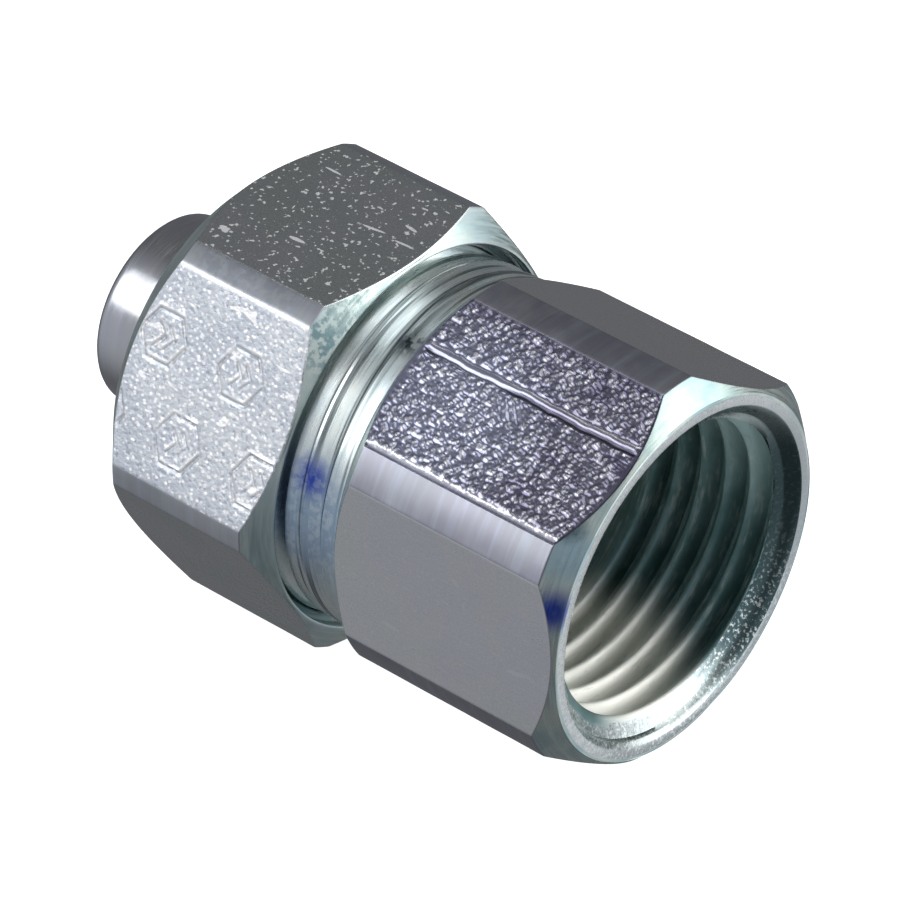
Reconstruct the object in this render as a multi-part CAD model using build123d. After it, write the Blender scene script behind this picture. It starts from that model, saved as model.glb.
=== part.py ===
from build123d import *
from build123d.topology import SkipClean
from math import cos, radians, sin, tan
import os

# Conduit compression fitting: a hex body with a female conduit thread, and a hex nut that clamps a sleeve.
# Frame: X runs along the fitting's axis, and the female mouth faces +X.
# Z is up, and one of the nut's flats faces up.
# The origin is on the axis, at the shoulder inside the female thread where the conduit's end stops.
# All sizes are in millimetres.

# Hex bodies
BODY_ACROSS_FLATS = 23.81  # 15/16 in bar
NUT_ACROSS_FLATS = 25.4  # 1 in bar
BODY_CORNER_R = 13.07  # the bar's rounded corners
NUT_CORNER_R = 14.25
BODY_TURN_DEG = 27.5  # how far the body's flats are turned from the nut's, about the axis

# Places along the axis
MOUTH_X = 13.3  # end face of the female mouth, so also the depth of the conduit stop
BODY_LENGTH = 16.55  # hex, from the mouth to where the rear chamfer meets the neck
EXPOSED_NECK = 4.1  # thread that shows between the hex and the nut, as supplied
NUT_LENGTH = 13.67
NECK_IN_NUT = 5.9  # neck inside the nut, as supplied
STUB_LENGTH = 6.5  # the sleeve outside the nut
HEX_BACK_X = MOUTH_X - BODY_LENGTH
NUT_FRONT_X = HEX_BACK_X - EXPOSED_NECK
NUT_BACK_X = NUT_FRONT_X - NUT_LENGTH
NECK_END_X = NUT_FRONT_X - NECK_IN_NUT
STUB_END_X = NUT_BACK_X - STUB_LENGTH

# Female conduit thread, G 1/2: 14 threads per inch, 55 degrees
CONDUIT_PITCH = 25.4 / 14
CONDUIT_MAJOR_R = 20.955 / 2
CONDUIT_MINOR_R = 18.631 / 2
CONDUIT_FLANK_DEG = 27.5
CONDUIT_ROOT_HALF = 0.15  # half the width of the groove's floor
CONDUIT_TAIL = 1.7  # plain tap-drill length between the thread and the stop
MOUTH_FLARE_R = 10.84
RIM_OUTER_R = 11.68

# Gland thread between neck and nut, 15/16 in: 16 threads per inch, 60 degrees
GLAND_PITCH = 25.4 / 16
NECK_CREST_R = 11.8
NECK_ROOT_R = 10.98
NUT_CREST_R = 11.16
NUT_ROOT_R = 11.95
GLAND_FLANK_DEG = 30.0
NECK_ROOT_HALF = 0.10  # half the width of the neck groove's floor
FLANK_GAP = 0.08  # each flank's clearance along the axis
CUTTER_OVERLAP = 0.1  # how far a thread cutter reaches past the crests
SEAM_TURN_DEG = 30  # where the body's lengthwise seams lie

# The neck's groove and the nut's ridge lie on one helix, which starts one pitch off the neck's end
NECK_THREAD_X = NECK_END_X - GLAND_PITCH
NECK_THREAD_LENGTH = 6 * GLAND_PITCH

# Bores of the body
STOP_RECESS_R = 8.6
STOP_RECESS_DEPTH = 1.3
THROAT_R = 7.4
WEB = 3.4  # the wall between the conduit side and the gland chamber
CHAMBER_R = 9.0
SEAT_CONE_R = 9.9
SEAT_CONE_SLOPE = 0.4
CHAMBER_FLOOR_X = -STOP_RECESS_DEPTH - WEB

# The nut's mouth and ends
NUT_MOUTH_R = 12.35
NUT_MOUTH_DEPTH = 0.8
NUT_FACE_R = 12.45
NUT_FRONT_BEVEL_DEG = 57.0
NUT_BACK_R = 11.42
NUT_BACK_BEVEL_DEG = 48.0
BODY_BACK_BEVEL_DEG = 50.0

# Entry sleeve
SLEEVE_R = 6.25
SLEEVE_BORE_R = 4.9
SLEEVE_FIT = 0.08  # radial running clearance of the sleeve in the nut
SLEEVE_EDGE = 0.45  # outer chamfer of the stub's end
SLEEVE_LEAD_IN = 0.5  # inner chamfer of the stub's end
FLANGE_R = 10.7
FLANGE_THICK = 1.5
NOSE_R = 8.4
NOSE_LENGTH = 1.1

# Gland pieces
NUT_WALL = 2.26  # the nut's end wall
NUT_THREAD_RUNOUT = 1.0  # how far the nut's thread stops short of the flange
WASHER_THICK = 1.0
SLIP_WASHER_R = 10.9
SEAT_WASHER_BORE_R = 6.6
CHAMBER_FIT = 0.05  # radial clearance of the seal, washer and bush in their bores
RING_LENGTH = 3.0
RING_BORE_R = 5.3
RING_SLIT = 1.5
RING_HEAD_FIT = 0.02  # the ring's head under the cone's large radius
RING_TIP_FIT = 0.08  # the ring's tip under the chamber's radius
SEAL_BORE_R = 5.0
SEAL_GAP = 0.06  # what is left between ring and seal when the nut is finger-tight

# Throat bush
BUSH_BORE_R = 6.3
BUSH_SPIGOT = 2.6
BUSH_LIP = 0.6
BUSH_INSET = 0.1  # how far its face lies below the conduit stop

# Places along the gland
NUT_SHOULDER_X = NUT_BACK_X + NUT_WALL
FLANGE_BACK_X = NUT_SHOULDER_X + WASHER_THICK
FLANGE_FRONT_X = FLANGE_BACK_X + FLANGE_THICK
NOSE_END_X = FLANGE_FRONT_X + NOSE_LENGTH
RING_END_X = NOSE_END_X + RING_LENGTH
NUT_THREAD_BACK_X = FLANGE_BACK_X + NUT_THREAD_RUNOUT
FREE_PLAY = GLAND_PITCH  # the gland closes by one turn before the ring meets its seat
SEAL_BACK_X = RING_END_X + FREE_PLAY + SEAL_GAP
SEAL_FRONT_X = CHAMBER_FLOOR_X - WASHER_THICK


def turned(points):
    """A solid of revolution about X. The points are (x, radius) pairs round the half section."""
    half_section = make_face(Polyline(*points, close=True))
    return revolve(half_section, Axis.X, 360)


def tube(x_low, x_high, r_out, r_in):
    """A plain ring."""
    return turned([(x_low, r_in), (x_high, r_in), (x_high, r_out), (x_low, r_out)])


def hex_bar(across_flats, x_low, x_high, turn_deg):
    """A hexagonal bar along X. With no turn, two of its flats face up and down."""
    section = RegularPolygon(across_flats / 2, 6, major_radius=False, rotation=turn_deg)
    plane = Plane(origin=(x_low, 0, 0), x_dir=(0, 1, 0), z_dir=(1, 0, 0))
    return extrude(plane * section, x_high - x_low)


def helical_cutter(x_start, length, pitch, r_inner, r_outer, half_inner, half_outer):
    """A right-hand helical wedge, to cut a thread groove. Each half width belongs to its radius."""
    r_mid = (r_inner + r_outer) / 2
    plane = Plane(origin=(x_start, 0, 0), x_dir=(0, 1, 0), z_dir=(1, 0, 0))
    path = plane * Helix(pitch, length, r_mid)
    section_plane = Plane(origin=(x_start, r_mid, 0), x_dir=(0, 1, 0), z_dir=(0, 0, 1))
    corners = [
        (r_inner - r_mid, -half_inner),
        (r_outer - r_mid, -half_outer),
        (r_outer - r_mid, half_outer),
        (r_inner - r_mid, half_inner),
    ]
    section = section_plane * make_face(Polyline(*corners, close=True))
    return sweep(section, path=path, is_frenet=True)


def with_seams(solid, turn_deg):
    """The same solid and shape with seams along it, so that a helical face goes at most half way round.

    The middle of each face's length is then close to the face itself.
    """
    turn = radians(turn_deg)
    plane = Plane(origin=(0, 0, 0), z_dir=(0, -sin(turn), cos(turn)))
    with SkipClean():
        upper = solid.split(plane, keep=Keep.TOP)
        lower = solid.split(plane, keep=Keep.BOTTOM)
        return upper.fuse(lower)


def make_body():
    """Hex body: female conduit thread at the mouth, throat, gland chamber, and the threaded neck."""
    rim_depth = BODY_CORNER_R - RIM_OUTER_R
    back_depth = (BODY_CORNER_R - NECK_CREST_R) / tan(radians(BODY_BACK_BEVEL_DEG))
    neck_bevel = NECK_CREST_R - NECK_ROOT_R
    blank = turned(
        [
            (NECK_END_X, 0),
            (NECK_END_X, NECK_ROOT_R),
            (NECK_END_X + neck_bevel, NECK_CREST_R),
            (HEX_BACK_X, NECK_CREST_R),
            (HEX_BACK_X + back_depth, BODY_CORNER_R),
            (MOUTH_X - rim_depth, BODY_CORNER_R),
            (MOUTH_X, RIM_OUTER_R),
            (MOUTH_X, 0),
        ]
    )
    bar = hex_bar(BODY_ACROSS_FLATS, HEX_BACK_X, MOUTH_X, BODY_TURN_DEG)
    neck_stock = tube(NECK_END_X, HEX_BACK_X + back_depth, NECK_CREST_R, 0)
    solid = blank & (bar + neck_stock)
    seat_depth = (SEAT_CONE_R - CHAMBER_R) / SEAT_CONE_SLOPE
    flare_depth = MOUTH_FLARE_R - CONDUIT_MINOR_R
    bores = turned(
        [
            (NECK_END_X, 0),
            (NECK_END_X, SEAT_CONE_R),
            (NECK_END_X + seat_depth, CHAMBER_R),
            (CHAMBER_FLOOR_X, CHAMBER_R),
            (CHAMBER_FLOOR_X, THROAT_R),
            (-STOP_RECESS_DEPTH, THROAT_R),
            (-STOP_RECESS_DEPTH, STOP_RECESS_R),
            (0, STOP_RECESS_R),
            (0, CONDUIT_MINOR_R),
            (MOUTH_X - flare_depth, CONDUIT_MINOR_R),
            (MOUTH_X, MOUTH_FLARE_R),
            (MOUTH_X, 0),
        ]
    )
    solid = solid - bores
    inner_r = CONDUIT_MINOR_R - CUTTER_OVERLAP
    inner_half = CONDUIT_ROOT_HALF + (CONDUIT_MAJOR_R - inner_r) * tan(radians(CONDUIT_FLANK_DEG))
    conduit_groove = helical_cutter(
        CONDUIT_TAIL + inner_half,
        MOUTH_X - CONDUIT_TAIL + CONDUIT_PITCH,
        CONDUIT_PITCH,
        inner_r,
        CONDUIT_MAJOR_R,
        inner_half,
        CONDUIT_ROOT_HALF,
    )
    outer_r = NECK_CREST_R + CUTTER_OVERLAP
    outer_half = NECK_ROOT_HALF + (outer_r - NECK_ROOT_R) * tan(radians(GLAND_FLANK_DEG))
    neck_groove = helical_cutter(
        NECK_THREAD_X,
        NECK_THREAD_LENGTH,
        GLAND_PITCH,
        NECK_ROOT_R,
        outer_r,
        NECK_ROOT_HALF,
        outer_half,
    )
    return with_seams(solid - conduit_groove - neck_groove, SEAM_TURN_DEG)


def make_nut():
    """Compression nut: hex outside; inside, a gland thread, a cavity and an end wall."""
    hole_r = SLEEVE_R + SLEEVE_FIT
    cup = turned(
        [
            (NUT_BACK_X, hole_r),
            (NUT_BACK_X, NUT_CORNER_R),
            (NUT_FRONT_X, NUT_CORNER_R),
            (NUT_FRONT_X, NUT_CREST_R),
            (NUT_SHOULDER_X, NUT_CREST_R),
            (NUT_SHOULDER_X, hole_r),
        ]
    )
    slope = tan(radians(GLAND_FLANK_DEG))
    ridge_tip_half = NECK_ROOT_HALF + (NUT_CREST_R - NECK_ROOT_R) * slope - FLANK_GAP
    inner_r = NUT_CREST_R - CUTTER_OVERLAP
    outer_half = GLAND_PITCH / 2 - ridge_tip_half - (NUT_ROOT_R - NUT_CREST_R) * slope
    inner_half = outer_half + (NUT_ROOT_R - inner_r) * slope
    pitches_in = round((NUT_THREAD_BACK_X - NECK_THREAD_X) / GLAND_PITCH)
    start = NECK_THREAD_X + (pitches_in + 0.5) * GLAND_PITCH
    groove = helical_cutter(
        start,
        NUT_FRONT_X - start + GLAND_PITCH,
        GLAND_PITCH,
        inner_r,
        NUT_ROOT_R,
        inner_half,
        outer_half,
    )
    mouth_end = NUT_FRONT_X - NUT_MOUTH_DEPTH
    cone_end = mouth_end - NUT_MOUTH_R + inner_r
    mouth = turned(
        [
            (NUT_FRONT_X, 0),
            (NUT_FRONT_X, NUT_MOUTH_R),
            (mouth_end, NUT_MOUTH_R),
            (cone_end, inner_r),
            (cone_end, 0),
        ]
    )
    front_bevel = (NUT_CORNER_R - NUT_FACE_R) / tan(radians(NUT_FRONT_BEVEL_DEG))
    back_bevel = (NUT_CORNER_R - NUT_BACK_R) / tan(radians(NUT_BACK_BEVEL_DEG))
    outside = turned(
        [
            (NUT_BACK_X, 0),
            (NUT_BACK_X, NUT_BACK_R),
            (NUT_BACK_X + back_bevel, NUT_CORNER_R),
            (NUT_FRONT_X - front_bevel, NUT_CORNER_R),
            (NUT_FRONT_X, NUT_FACE_R),
            (NUT_FRONT_X, 0),
        ]
    )
    outside = outside & hex_bar(NUT_ACROSS_FLATS, NUT_BACK_X, NUT_FRONT_X, 0)
    return (cup - groove - mouth) & outside


def make_entry_sleeve():
    """Entry sleeve: the stub outside the nut, with a flange and a nose inside the gland."""
    return turned(
        [
            (STUB_END_X, SLEEVE_BORE_R + SLEEVE_LEAD_IN),
            (STUB_END_X, SLEEVE_R - SLEEVE_EDGE),
            (STUB_END_X + SLEEVE_EDGE, SLEEVE_R),
            (FLANGE_BACK_X, SLEEVE_R),
            (FLANGE_BACK_X, FLANGE_R),
            (FLANGE_FRONT_X, FLANGE_R),
            (FLANGE_FRONT_X, NOSE_R),
            (NOSE_END_X, NOSE_R),
            (NOSE_END_X, SLEEVE_BORE_R),
            (STUB_END_X + SLEEVE_LEAD_IN, SLEEVE_BORE_R),
        ]
    )


def make_clamping_ring():
    """Split steel ring with a cone that the neck's seat squeezes shut."""
    big_r = SEAT_CONE_R - RING_HEAD_FIT
    cone_start = NECK_END_X - FREE_PLAY
    small_r = CHAMBER_R - RING_TIP_FIT
    cone_end = cone_start + (big_r - small_r) / SEAT_CONE_SLOPE
    ring = turned(
        [
            (NOSE_END_X, RING_BORE_R),
            (NOSE_END_X, big_r),
            (cone_start, big_r),
            (cone_end, small_r),
            (RING_END_X, small_r),
            (RING_END_X, RING_BORE_R),
        ]
    )
    ring_middle = Pos(NOSE_END_X + RING_LENGTH / 2, 0, SEAT_CONE_R)
    slit = ring_middle * Box(2 * RING_LENGTH, RING_SLIT, 2 * SEAT_CONE_R)
    return ring - slit


def make_throat_bush():
    """Nylon bush that covers the throat's edge, so that pulled wires aren't cut."""
    flange_r = STOP_RECESS_R - CHAMBER_FIT
    spigot_end = -STOP_RECESS_DEPTH - BUSH_SPIGOT
    return turned(
        [
            (spigot_end, BUSH_BORE_R),
            (spigot_end, THROAT_R),
            (-STOP_RECESS_DEPTH, THROAT_R),
            (-STOP_RECESS_DEPTH, flange_r),
            (-BUSH_INSET, flange_r),
            (-BUSH_INSET, BUSH_BORE_R + BUSH_LIP),
            (-BUSH_INSET - BUSH_LIP, BUSH_BORE_R),
        ]
    )


nodes = {
    "body": make_body(),
    "throat_bush": make_throat_bush(),
    "seat_washer": tube(SEAL_FRONT_X, CHAMBER_FLOOR_X, CHAMBER_R - CHAMBER_FIT, SEAT_WASHER_BORE_R),
    "sealing_ring": tube(SEAL_BACK_X, SEAL_FRONT_X, CHAMBER_R - CHAMBER_FIT, SEAL_BORE_R),
    "clamping_ring": make_clamping_ring(),
    "entry_sleeve": make_entry_sleeve(),
    "slip_washer": tube(NUT_SHOULDER_X, FLANGE_BACK_X, SLIP_WASHER_R, SLEEVE_R + SLEEVE_FIT),
    "compression_nut": make_nut(),
}

os.makedirs("parts", exist_ok=True)
for name, shape in nodes.items():
    export_step(shape, f"parts/{name}.step")
    box = shape.bounding_box()
    print(name, len(shape.solids()), shape.is_valid, round(shape.volume, 1), box.min, box.max)
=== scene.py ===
"""Looks for the conduit compression fitting: finely meshed body, nut and sleeve in plated steel, and a scene.

Sizes are in millimetres unless a name says otherwise, and go to metres when a mesh is made.
Angles run from +Y towards +Z, about the fitting's axis X.
"""
import math

import bmesh
import bpy
import numpy as np
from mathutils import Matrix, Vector


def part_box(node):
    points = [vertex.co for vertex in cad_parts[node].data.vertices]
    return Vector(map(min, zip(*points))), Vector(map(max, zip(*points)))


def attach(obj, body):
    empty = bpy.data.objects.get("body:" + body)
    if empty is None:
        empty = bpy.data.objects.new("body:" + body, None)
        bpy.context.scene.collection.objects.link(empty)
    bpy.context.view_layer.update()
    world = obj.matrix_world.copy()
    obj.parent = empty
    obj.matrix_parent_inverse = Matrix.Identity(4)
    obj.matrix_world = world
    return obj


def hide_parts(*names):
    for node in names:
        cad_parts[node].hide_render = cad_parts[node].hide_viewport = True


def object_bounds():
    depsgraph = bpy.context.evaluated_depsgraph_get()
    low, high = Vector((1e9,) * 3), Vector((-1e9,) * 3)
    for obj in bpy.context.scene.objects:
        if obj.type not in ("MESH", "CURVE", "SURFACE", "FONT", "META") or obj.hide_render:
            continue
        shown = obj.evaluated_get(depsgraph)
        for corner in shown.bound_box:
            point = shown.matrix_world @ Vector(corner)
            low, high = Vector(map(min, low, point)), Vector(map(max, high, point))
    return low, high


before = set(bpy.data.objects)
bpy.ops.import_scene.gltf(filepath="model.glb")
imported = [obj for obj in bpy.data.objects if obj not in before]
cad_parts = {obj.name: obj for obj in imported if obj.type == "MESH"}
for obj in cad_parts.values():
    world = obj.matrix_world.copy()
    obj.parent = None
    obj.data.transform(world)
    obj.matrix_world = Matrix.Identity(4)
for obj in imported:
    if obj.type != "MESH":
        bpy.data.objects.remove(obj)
cad_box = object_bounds()

MM = 0.001
TURN = 2 * math.pi
SIXTH = TURN / 6

# ---------------------------------------------------------------- sizes, as in the part's source
BODY_LOW, BODY_HIGH = (np.array(corner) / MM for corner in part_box("body"))
NUT_LOW, NUT_HIGH = (np.array(corner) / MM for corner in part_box("compression_nut"))
SLEEVE_LOW, SLEEVE_HIGH = (np.array(corner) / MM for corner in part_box("entry_sleeve"))

MOUTH_X = BODY_HIGH[0]
NECK_END_X = BODY_LOW[0]
BODY_LENGTH = 16.55
HEX_BACK_X = MOUTH_X - BODY_LENGTH
NUT_FRONT_X = NUT_HIGH[0]
NUT_BACK_X = NUT_LOW[0]
STUB_END_X = SLEEVE_LOW[0]
NOSE_END_X = SLEEVE_HIGH[0]
BODY_FLAT_R = 23.81 / 2
BODY_CORNER_R = BODY_HIGH[2]
BODY_TURN_DEG = 27.5
BODY_FIRST_FLAT = math.radians(90 + BODY_TURN_DEG)
NUT_FLAT_R = NUT_HIGH[2]
NUT_CORNER_R = NUT_HIGH[1]
NUT_FIRST_FLAT = math.radians(90)

CONDUIT_PITCH = 25.4 / 14
CONDUIT_MAJOR_R = 20.955 / 2
CONDUIT_MINOR_R = 18.631 / 2
CONDUIT_ROOT_HALF = 0.15
CONDUIT_TAIL = 1.7
CONDUIT_SLOPE = math.tan(math.radians(27.5))
CONDUIT_SOFTNESS = 0.4
FLARE_R = 10.84
FLARE_DEPTH = 0.7
FLARE_INNER_SLOPE = 1.8
RIM_R = 11.68
STOP_RECESS_R = 8.6
STOP_RECESS_DEPTH = 1.3
THROAT_R = 7.4
CHAMBER_R = 9.0
CHAMBER_FLOOR_X = -4.7
SEAT_CONE_R = 9.9
SEAT_CONE_DEPTH = 2.25

GLAND_PITCH = 25.4 / 16
NECK_CREST_R = 11.8
NECK_ROOT_R = 10.98
NUT_CREST_R = 11.16
NUT_ROOT_R = 11.95
GLAND_SLOPE = math.tan(math.radians(30))
NECK_ROOT_HALF = 0.10
FLANK_GAP = 0.08
NECK_THREAD_X = NECK_END_X - GLAND_PITCH
NECK_CROWN = 0.30  # how much the exposed lands are worn down, at most
NECK_CROWN_X = -6.1
NECK_CROWN_REACH = 2.2
NECK_FADES = ((0.58, -7.3, -6.6), (0.10, -6.2, -5.4), (0.32, -4.7, -4.3))  # depth lost, from one x to another

BODY_BACK_SLOPE = math.tan(math.radians(50))
NUT_FRONT_SLOPE = math.tan(math.radians(57))
NUT_BACK_SLOPE = math.tan(math.radians(48))
NUT_MOUTH_R = 12.35
NUT_MOUTH_DEPTH = 0.8
NUT_FACE_R = 12.45
NUT_BACK_R = 11.42
NUT_WALL = 2.26
NUT_SHOULDER_X = NUT_BACK_X + NUT_WALL
SLEEVE_R = 6.25
SLEEVE_FIT = 0.08
SLEEVE_HOLE_R = SLEEVE_R + SLEEVE_FIT
SLEEVE_BORE_R = 4.9
SLEEVE_OUTER_BEVEL = 0.4
SLEEVE_BORE_BEVEL = 0.5
FLANGE_R = 10.7
FLANGE_THICK = 1.5
NOSE_R = 8.4
WASHER_THICK = 1.0
WASHER_GAP = 0.01  # keeps the flange's mesh off the washer's face
BLEND = 0.03  # how softly two surfaces of a section run into each other

# ---------------------------------------------------------------- places with tints, painted highlights and painted shade
NUT_TOP_MIDDLE = (-14, 0, 13)
NUT_UPPER_EDGE = (-14.0, -6.0, 12.5)
NUT_FRONT_CORNER = (-7.9, -6.8, 11.2)
NUT_FRONT_ABOVE_CORNER = (-8.0, -5.0, 12.3)
NECK_SIDE = (-5.6, -11.5, 1.5)
NECK_STAIN = (-5.8, -10.9, 4.2)
NECK_DARK_PATCH = (-4.0, -4.2, 11.1)
PEBBLED_MIDDLE = (1.0, -6.5, 9.9)
MOUTH_CORNER = (12.3, -9.9, 7.4)
MOUTH_CORNER_TOP = (12.4, -9.2, 8.9)
MOUTH_CORNER_STAIN = (12.7, -11.3, 4.3)
RIM_BOTTOM = (14.2, -2.0, -11.0)
# Centre of the painted shade on the countersink and rim.
RIM_FAR_SIDE = (14.2, 10.0, -3.0)
RIM_FAR_UPPER = (14.2, 10.5, 3.0)
# Places in the bore where the thread gets painted highlights.
THREAD_FAR_SIDE_HIGHLIGHT = (13.0, 8.5, 4.0)
THREAD_BOTTOM_HIGHLIGHT = (6.5, -1.6, -10.2)


# ---------------------------------------------------------------- small mathematics
def soft_min(a, b, width):
    """The smaller of a and b, rounded where they meet."""
    near = np.clip(width - np.abs(a - b), 0, None) / width
    return np.minimum(a, b) - near * near * width / 4


def step(value, low, high):
    """0 below low, 1 above high, smooth between."""
    t = np.clip((value - low) / (high - low), 0, 1)
    return t * t * (3 - 2 * t)


def hump(value, width):
    """1 where value is 0, falling away smoothly over about a width on each side."""
    return np.exp(-((value / width) ** 2))


def swell(u, v, length, seed):
    """A gentle wavy height from -1 to 1."""
    rng = np.random.default_rng(seed)
    waves = 6
    total = 0
    for _ in range(waves):
        heading = rng.uniform(0, TURN)
        per_mm = rng.uniform(0.7, 1.6) / length
        along = u * math.cos(heading) + v * math.sin(heading)
        total = total + np.sin(TURN * per_mm * along + rng.uniform(0, TURN))
    return total / waves


def pebbles(u, v, spacing, seed):
    """Rounded bumps from 0 to 1 high, at scattered places about spacing apart."""
    rng = np.random.default_rng(seed)
    cells = 97
    reach = 0.42
    jitter = rng.uniform(0.1, 0.9, (cells, cells, 2))
    size = rng.uniform(0.55, 1.0, (cells, cells))
    column = np.floor(u / spacing).astype(int)
    row = np.floor(v / spacing).astype(int)
    height = np.zeros_like(u)
    for dc in (-1, 0, 1):
        for dr in (-1, 0, 1):
            i = column + dc
            j = row + dr
            place = jitter[i % cells, j % cells]
            away = (u / spacing - i - place[..., 0]) ** 2 + (v / spacing - j - place[..., 1]) ** 2
            bump = size[i % cells, j % cells] * np.clip(1 - away / reach, 0, 1)
            height = np.maximum(height, bump)
    return height


def line_distance(u, v, start, end):
    """Distance of each (u, v) from a straight line between two points."""
    du, dv = end[0] - start[0], end[1] - start[1]
    along = np.clip(((u - start[0]) * du + (v - start[1]) * dv) / (du * du + dv * dv), 0, 1)
    return np.hypot(u - start[0] - along * du, v - start[1] - along * dv)


# ---------------------------------------------------------------- hexagons and threads
FAR = 99.0  # a distance beyond any on the fitting
ON_FLAT = 9  # a distance that no flat's half width reaches
GROOVE_SIDES = (0.07, 0.27, 0.5, 0.72, 0.93, 1.0)  # where stations stand across half a groove's opening
LAND_NEAR = (0.15, 0.35, 0.6, 0.8, 1.0)
LAND_FAR = (0.2, 0.4, 0.65, 0.85)


def hex_columns(flat_r, corner_r, first_flat, counts):
    """Angles round a hexagon, from 0 to a full turn, closer together at its edges.

    counts says how many columns there are on each flat.
    """
    half = math.acos(flat_r / corner_r)
    near = math.radians(0.45)
    angles = [0.0, TURN]
    for k, count in enumerate(counts):
        middle = first_flat + k * SIXTH
        edge = half - 2 * near
        across = np.arctan(np.linspace(-math.tan(edge), math.tan(edge), count))
        corner = np.linspace(half + 2 * near, SIXTH - half - 2 * near, 7)
        bevels = [half - near, half, half + near, SIXTH - half - near, SIXTH - half, SIXTH - half + near]
        angles += [(middle + a) % TURN for a in (*across, *corner, *bevels)]
    return np.unique(np.round(angles, 7))


def hex_radius(angles, flat_r, corner_r, first_flat):
    """Radius of the hexagon, with its corners turned off, at each angle."""
    off = (angles - first_flat + SIXTH / 2) % SIXTH - SIXTH / 2
    return soft_min(flat_r / np.cos(off), corner_r, BLEND)


def flat_across(angles, flat_r, middle):
    """Distance of each column from the middle of the flat at that angle, along it. FAR on other flats."""
    off = (angles - middle + math.pi) % TURN - math.pi
    return np.where(np.abs(off) < SIXTH / 2, flat_r * np.tan(np.clip(off, -1, 1)), FAR)


class Thread:
    """A helical groove on a round surface.

    sign is 1 for a groove that goes outwards, in a bore, and -1 on a stem. strength gives the share of the
    depth at each turn. crown is how much the lands near NECK_CROWN_X are worn down. soft rounds the edges.
    """

    def __init__(self, start, pitch, land_r, depth, root_half, slope, sign, strength, crown=0.0, soft=0.02):
        self.start, self.pitch, self.land_r, self.depth = start, pitch, land_r, depth
        self.root_half, self.slope, self.sign, self.strength = root_half, slope, sign, strength
        self.crown, self.soft = crown, soft

    def opening(self, turns):
        """Half the groove's width at the land, which falls to nothing as the groove fades."""
        return self.root_half * (self.strength(turns) > 0.02) + self.depth * self.strength(turns) * self.slope

    def radius(self, x, angles):
        """The surface's radius at x, for each angle."""
        place = (x - self.start) / self.pitch - angles / TURN
        groove = np.round(place)
        away = np.abs(place - groove) * self.pitch
        turns = groove + angles / TURN
        deep = self.depth * self.strength(turns)
        cut = deep - np.clip(away - self.root_half, 0, None) / self.slope
        cut = -soft_min(-cut, np.zeros_like(cut), self.soft)
        cut = soft_min(np.clip(deep, 0, None), np.clip(cut, 0, None), 0.02)
        painted_light_and_wear = step(1 - np.abs(x - NECK_CROWN_X) / NECK_CROWN_REACH, 0, 0.3)
        past = (place - np.floor(place)) * painted_light_and_wear
        return self.land_r + self.sign * np.maximum(cut, self.crown * past)

    def stations(self, angles, low, high):
        """x of each station, for each column, in rising order. The ends are cut off at low and high."""
        first = math.floor((low - self.start) / self.pitch) - 2
        last = math.ceil((high - self.start) / self.pitch) + 1
        rows = []
        for k in range(first, last + 1):
            turns = k + angles / TURN
            middle = self.start + self.pitch * turns
            wide = np.clip(self.opening(turns), 0.05, self.pitch * 0.48)
            narrow = np.minimum(self.root_half, wide * 0.5)
            inner = narrow * 0.9
            outer = wide * 1.02
            steps = [inner + (side - 0.07) / 0.93 * (outer - inner) for side in GROOVE_SIDES]
            rows += [middle - away for away in reversed(steps)]
            rows += [middle + away for away in steps]
            half_pitch = self.pitch / 2
            rows += [middle + outer + (half_pitch - outer) * share for share in LAND_NEAR]
            rows += [middle + half_pitch + (half_pitch - outer) * share for share in LAND_FAR]
        return [np.clip(row, low, high) for row in rows]


def body_neck_strength(turns):
    """The neck's thread is whole inside the nut, and runs out towards the hex."""
    x = NECK_THREAD_X + GLAND_PITCH * turns
    strength = 1.0
    for lost, low, high in NECK_FADES:
        strength = strength - lost * step(x, low, high)
    return strength


def conduit_strength(turns):
    """The conduit's thread starts gently past the plain tail."""
    return step(turns, -0.02, 0.35)


def full_strength(turns):
    """A thread that doesn't fade."""
    return np.ones_like(turns)


# ---------------------------------------------------------------- meshes
def turned_mesh(name, angles, stations, materials, sharp_deg=40):
    """A closed solid from stations that go once round its half section.

    Each station is (x, r, material) or (x, r, material, painted_light_and_wear). x, r and the fourth value
    are numbers or hold one value for each column of angles. material is an index, or one for each strip
    between columns, of the surface that leads on to the next station. The fourth value is painted light: 1 is
    a painted highlight on raised metal, and -1 painted shade in the darkest hollows.
    """
    columns = len(angles)
    painted_light_and_wear = np.array([np.broadcast_to(s[3] if len(s) > 3 else 0.0, columns) for s in stations], float)
    x = np.array([np.broadcast_to(s[0], columns) for s in stations], float)
    r = np.array([np.broadcast_to(s[1], columns) for s in stations], float)
    paint = np.array([np.broadcast_to(s[2], columns - 1) for s in stations], int)
    points = np.stack([x, r * np.cos(angles), r * np.sin(angles)], axis=-1).reshape(-1, 3) * MM
    rows = len(stations)
    here = np.arange(rows)[:, None] * columns + np.arange(columns - 1)[None, :]
    there = ((np.arange(rows) + 1) % rows)[:, None] * columns + np.arange(columns - 1)[None, :]
    quads = np.stack([here, here + 1, there + 1, there], axis=-1).reshape(-1, 4)
    mesh = bpy.data.meshes.new(name)
    mesh.from_pydata(points.tolist(), [], quads.tolist())
    mesh.polygons.foreach_set("material_index", paint.reshape(-1).tolist())
    # This point attribute carries painted highlight (above 0) and painted shade (below 0) for the materials.
    layer = mesh.attributes.new("painted_light_and_wear", "FLOAT", "POINT")
    layer.data.foreach_set("value", painted_light_and_wear.reshape(-1).tolist())
    work = bmesh.new()
    work.from_mesh(mesh)
    bmesh.ops.remove_doubles(work, verts=work.verts, dist=1.5e-6)
    bmesh.ops.recalc_face_normals(work, faces=work.faces)
    for face in work.faces:
        face.smooth = True
    work.to_mesh(mesh)
    work.free()
    mesh.set_sharp_from_angle(angle=math.radians(sharp_deg))
    for material in materials:
        mesh.materials.append(material)
    piece = bpy.data.objects.new(name, mesh)
    bpy.context.scene.collection.objects.link(piece)
    return piece


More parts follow.
